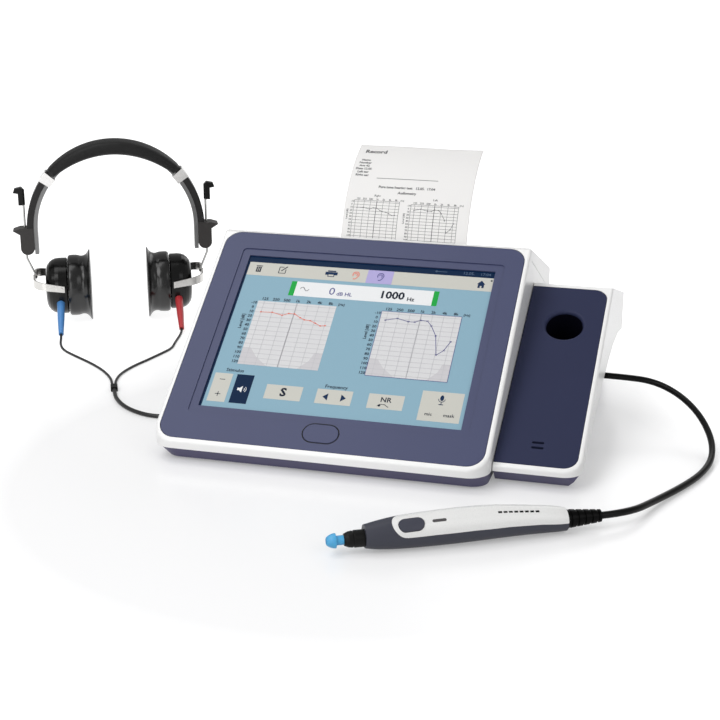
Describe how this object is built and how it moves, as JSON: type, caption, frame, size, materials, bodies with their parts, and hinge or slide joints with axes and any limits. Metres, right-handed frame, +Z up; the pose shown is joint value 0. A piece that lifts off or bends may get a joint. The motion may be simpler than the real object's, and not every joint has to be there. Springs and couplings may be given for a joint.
{
  "type": "desktop tympanometer",
  "caption": "Desk tympanometer with a sloped touch screen, strip printer, side probe cradle, corded hand probe and an audiometric headset on its lead.",
  "frame": {"origin": "on the flat underside of the base tray, midway between the bezel's sides; the rubber feet reach 2 mm below it to the desk", "axes": "+X to the unit's right as its user sees it, +Y to its back, +Z up"},
  "size_m": [0.7079, 0.5897, 0.2074],
  "materials": {
    "navy_plastic": "fine-grained moulded plastic",
    "panel_navy": "satin printed front panel",
    "white_plastic": "smooth white moulded plastic",
    "clear_glass": "touch glass",
    "display": "lit display panel",
    "black_plastic": "black moulded plastic",
    "black_gloss": "polished black shell",
    "black_rubber": "black rubber",
    "board_green": "circuit board",
    "sheet_steel": "pressed steel sheet",
    "bright_steel": "bright wire and clips",
    "pump_metal": "pump housing",
    "paper": "thermal paper",
    "lamp_orange": "small lamp window",
    "tip_blue": "soft silicone tip",
    "pad_black": "padded headband cover",
    "lead_blue": "left plug",
    "lead_red": "right plug"
  },
  "bodies": {
    "unit": {"base_tray": "navy_plastic", "main_shell": "white_plastic", "rear_cover": "white_plastic", "front_bezel": "panel_navy", "touch_glass": "clear_glass", "lcd_module": "display", "display_frame": "sheet_steel", "main_board": "board_green", "button_switch": "black_plastic", "rubber_feet": "black_rubber", "case_screws": "sheet_steel", "air_pump": "pump_metal", "rear_sockets": "black_plastic", "lid_pin": "sheet_steel", "printer_frame": "black_plastic", "paper_strip": "paper", "cradle_base": "navy_plastic", "cradle_shell": "white_plastic", "cradle_cover": "panel_navy", "probe_well": "black_plastic", "cable_gland": "black_rubber", "probe_cable": "black_rubber", "probe_lower_shell": "navy_plastic", "probe_upper_shell": "white_plastic", "probe_lamp": "lamp_orange", "probe_board": "board_green", "probe_nozzle": "black_plastic", "probe_boot": "black_rubber", "left_lead": "black_rubber", "right_lead": "black_rubber", "lead_joint": "black_rubber", "trunk_lead": "black_rubber", "lead_coil": "black_rubber", "coil_tie": "black_rubber", "tail_lead": "black_rubber", "jack_plug": "black_plastic"},
    "home_button_body": {"home_button": "navy_plastic"},
    "power_rocker": {"power_switch": "black_gloss"},
    "lid": {"printer_lid": "white_plastic"},
    "roll": {"paper_roll": "paper"},
    "platen": {"platen_roller": "black_rubber"},
    "probe_key": {"probe_button": "navy_plastic"},
    "collar": {"probe_collar": "black_plastic"},
    "tip": {"ear_tip": "tip_blue"},
    "headband": {"headband_strap": "black_plastic", "headband_spring": "sheet_steel", "headband_pad": "pad_black", "band_clamps": "bright_steel", "slider_left": "black_plastic", "slider_right": "black_plastic"},
    "fork_left": {"stem_left": "bright_steel", "yoke_left": "sheet_steel"},
    "fork_right": {"stem_right": "bright_steel", "yoke_right": "sheet_steel"},
    "cup_left": {"earcup_left": "black_gloss", "ear_cushion_left": "black_rubber", "lead_plug_left": "lead_blue"},
    "cup_right": {"earcup_right": "black_gloss", "ear_cushion_right": "black_rubber", "lead_plug_right": "lead_red"}
  },
  "joints": [
    {"name": "home_button_press", "type": "slide", "parent": "unit", "child": "home_button_body", "axis": [0, 0.5693, -0.8221], "range_m": [0, 0.001], "stiffness_N_per_m": 1500, "springref_m": -0.0005},
    {"name": "power_rock", "type": "hinge", "parent": "unit", "child": "power_rocker", "pos_m": [0.092, 0.15373, 0.028], "axis": [1, 0, 0], "range_deg": [0, 16]},
    {"name": "lid_hinge", "type": "hinge", "parent": "unit", "child": "lid", "pos_m": [0.0204, 0.11878, 0.10442], "axis": [-1, 0, 0], "range_deg": [0, 95]},
    {"name": "roll_spin", "type": "hinge", "parent": "unit", "child": "roll", "pos_m": [0.0204, 0.086, 0.094], "axis": [1, 0, 0], "continuous": true},
    {"name": "platen_spin", "type": "hinge", "parent": "unit", "child": "platen", "pos_m": [0.0204, 0.0495, 0.113], "axis": [1, 0, 0], "continuous": true},
    {"name": "probe_key_press", "type": "slide", "parent": "unit", "child": "probe_key", "axis": [-0.2599, 0.4786, -0.8387], "range_m": [0, 0.0008], "stiffness_N_per_m": 1500, "springref_m": -0.0004},
    {"name": "collar_turn", "type": "hinge", "parent": "unit", "child": "collar", "pos_m": [0.0712, -0.2663, 0.008], "axis": [-0.8788, -0.4772, 0], "continuous": true},
    {"name": "tip_pull", "type": "slide", "parent": "unit", "child": "tip", "axis": [-0.8788, -0.4772, 0], "range_m": [0, 0.015]},
    {"name": "headband_height", "type": "slide", "parent": "unit", "child": "headband", "axis": [0, 0, 1], "range_m": [-0.003, 0.022]},
    {"name": "fork_turn_left", "type": "hinge", "parent": "unit", "child": "fork_left", "pos_m": [-0.40075, 0.17176, 0.058], "axis": [0, 0, 1], "range_deg": [-25, 25], "deforming": ["left_lead"]},
    {"name": "cup_tilt_left", "type": "hinge", "parent": "fork_left", "child": "cup_left", "pos_m": [-0.37038, 0.18566, 0.0375], "axis": [-0.4163, 0.9092, 0], "range_deg": [-12, 12], "deforming": ["left_lead"]},
    {"name": "fork_turn_right", "type": "hinge", "parent": "unit", "child": "fork_right", "pos_m": [-0.23545, 0.24744, 0.058], "axis": [0, 0, 1], "range_deg": [-25, 25], "deforming": ["right_lead"]},
    {"name": "cup_tilt_right", "type": "hinge", "parent": "fork_right", "child": "cup_right", "pos_m": [-0.26582, 0.23354, 0.0375], "axis": [-0.4163, 0.9092, 0], "range_deg": [-12, 12], "deforming": ["right_lead"]}
  ],
  "couplings": [
    {"joint": "platen_spin", "follows": "roll_spin", "ratio": 4.2}
  ]
}
